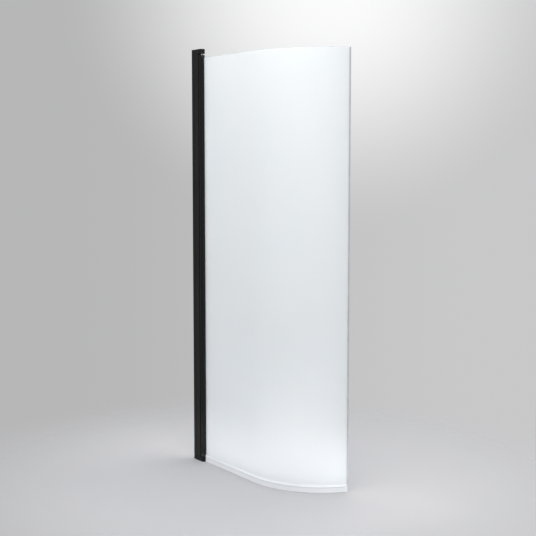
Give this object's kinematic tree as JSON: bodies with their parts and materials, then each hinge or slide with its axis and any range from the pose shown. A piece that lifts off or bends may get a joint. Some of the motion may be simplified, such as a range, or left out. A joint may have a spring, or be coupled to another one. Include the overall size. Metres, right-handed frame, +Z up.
{
  "type": "shower screen",
  "caption": "Pivoting curved shower screen: a bent frosted glass sheet on a black wall profile, with top and bottom pivots and a clear floor seal.",
  "frame": {"origin": "on the wall face, at floor level, on the centreline of the wall profile", "axes": "+X away from the wall along the closed screen, +Y into the shower on the bend's hollow side, +Z up"},
  "size_m": [0.851, 0.2783, 2],
  "materials": {
    "black_coat": "matte black powder coat, fine texture, on aluminium",
    "black_plastic": "moulded black plastic, matt",
    "black_rubber": "extruded black rubber",
    "seal_foam": "dark grey closed-cell foam strip",
    "stainless": "plain stainless steel",
    "mill_aluminium": "bare extruded aluminium",
    "white_acetal": "natural white bearing plastic",
    "clear_plastic": "clear flexible extrusion, slightly milky",
    "frosted_glass": "satin-frosted toughened glass, 6 mm"
  },
  "bodies": {
    "wall_channel": {"wall_profile": "black_coat", "wall_sealing_strips": "seal_foam", "wall_plug_bottom": "black_plastic", "wall_plug_top": "black_plastic", "clamp_screws": "stainless", "clamp_nuts": "stainless", "screw_covers": "black_plastic"},
    "hinge_carrier": {"adjusting_profile": "black_coat", "wiper_outer": "black_rubber", "wiper_inner": "black_rubber", "bottom_bracket": "black_coat", "top_bracket": "black_coat", "top_cover": "black_coat", "bracket_screws": "stainless", "pin_set_screws": "stainless", "bottom_pivot_pin": "stainless", "top_pivot_pin": "stainless", "height_nut": "black_plastic", "thrust_washer": "black_plastic"},
    "screen": {"hinge_post": "black_coat", "post_cap_bottom": "black_plastic", "post_cap_top": "black_plastic", "bottom_bush": "white_acetal", "top_bush": "white_acetal", "outer_gasket": "black_rubber", "inner_gasket": "black_rubber", "clamp_strip": "mill_aluminium", "glass_grub_screws": "stainless", "glass_packers": "clear_plastic", "glass_panel": "frosted_glass", "edge_strip": "clear_plastic", "bottom_seal": "clear_plastic"}
  },
  "joints": [
    {"name": "profile_adjust", "type": "slide", "parent": "wall_channel", "child": "hinge_carrier", "axis": [1, 0, 0], "range_m": [0, 0.006]},
    {"name": "screen_swing", "type": "hinge", "parent": "hinge_carrier", "child": "screen", "pos_m": [0.065, 0, 0.036], "axis": [0, 0, 1], "range_deg": [-90, 70]}
  ]
}
